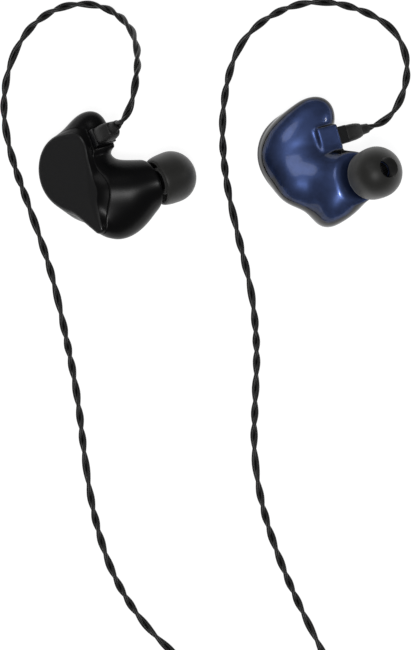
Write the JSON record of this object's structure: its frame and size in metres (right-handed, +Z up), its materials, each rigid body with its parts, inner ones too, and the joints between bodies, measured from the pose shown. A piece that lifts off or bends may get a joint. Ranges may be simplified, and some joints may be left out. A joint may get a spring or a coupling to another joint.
{
  "type": "in ear monitors",
  "caption": "Pair of sculpted multi-driver in-ear monitors with silicone tips and a detachable twisted cable with chin slider, splitter and coiled tail.",
  "frame": {"origin": "on the surface, under the middle of the box around the two earpieces", "axes": "+X to the right of the laid-out pair, +Y away from the viewer and up the page, +Z up from the surface"},
  "size_m": [0.0925, 0.28, 0.0227],
  "materials": {
    "shell": "polished cast acrylic resin",
    "shell_blue": "polished cast acrylic resin with blue pearl",
    "faceplate": "lacquered acrylic",
    "socket": "moulded nylon",
    "contact": "gold flash over brass",
    "driver": "drawn steel can",
    "board": "solder-masked glass epoxy",
    "chip": "ceramic chip",
    "sound_tube": "clear vinyl tube",
    "wire": "enamelled copper",
    "screen": "woven steel mesh",
    "ear_tip": "matt silicone",
    "plug": "moulded nylon, satin",
    "boot": "moulded elastomer",
    "cable": "twisted strands in black PVC",
    "bead": "moulded nylon, satin",
    "tie": "woven hook-and-loop tape",
    "jack_grip": "moulded, satin",
    "jack_contact": "gold flash over brass",
    "jack_insulator": "moulded ring"
  },
  "bodies": {
    "monitors_and_cable": {"left_faceplate": "faceplate", "left_shell": "shell_blue", "left_nozzle_screen": "screen", "left_socket": "socket", "left_socket_contacts": "contact", "left_woofer": "driver", "left_tweeter": "driver", "left_bass_tube": "sound_tube", "left_treble_tube": "sound_tube", "left_crossover_board": "board", "left_board_chips": "chip", "left_signal_wires": "wire", "left_driver_wires": "wire", "left_lead": "cable", "right_faceplate": "faceplate", "right_shell": "shell", "right_nozzle_screen": "screen", "right_socket": "socket", "right_socket_contacts": "contact", "right_woofer": "driver", "right_tweeter": "driver", "right_bass_tube": "sound_tube", "right_treble_tube": "sound_tube", "right_crossover_board": "board", "right_board_chips": "chip", "right_signal_wires": "wire", "right_driver_wires": "wire", "right_lead": "cable", "splitter": "bead", "splitter_boot": "boot", "cable_coil": "cable", "main_cable": "cable", "cable_tail": "cable", "coil_tie": "tie", "jack_boot": "boot", "jack_grip": "jack_grip", "jack_sleeve": "jack_contact", "jack_ring": "jack_contact", "jack_tip": "jack_contact", "jack_insulators": "jack_insulator"},
    "left_plug_body": {"left_plug": "plug", "left_plug_pins": "contact", "left_plug_boot": "boot"},
    "right_plug_body": {"right_plug": "plug", "right_plug_pins": "contact", "right_plug_boot": "boot"},
    "left_tip_body": {"left_ear_tip": "ear_tip"},
    "right_tip_body": {"right_ear_tip": "ear_tip"},
    "slider_body": {"chin_slider": "bead"}
  },
  "joints": [
    {"name": "left_unplug", "type": "slide", "parent": "monitors_and_cable", "child": "left_plug_body", "axis": [0.9033, 0.259, -0.342], "range_m": [0, 0.0032], "deforming": ["left_lead"]},
    {"name": "left_tip_pull", "type": "slide", "parent": "monitors_and_cable", "child": "left_tip_body", "axis": [0.5098, 0.1999, 0.8367], "range_m": [0, 0.0054]},
    {"name": "right_unplug", "type": "slide", "parent": "monitors_and_cable", "child": "right_plug_body", "axis": [0.4995, 0.3365, 0.7983], "range_m": [0, 0.0032], "deforming": ["right_lead"]},
    {"name": "right_tip_pull", "type": "slide", "parent": "monitors_and_cable", "child": "right_tip_body", "axis": [0.8581, 0.3304, -0.393], "range_m": [0, 0.0054]},
    {"name": "chin_slide", "type": "slide", "parent": "monitors_and_cable", "child": "slider_body", "axis": [0, 1, 0], "range_m": [0, 0.01]}
  ]
}
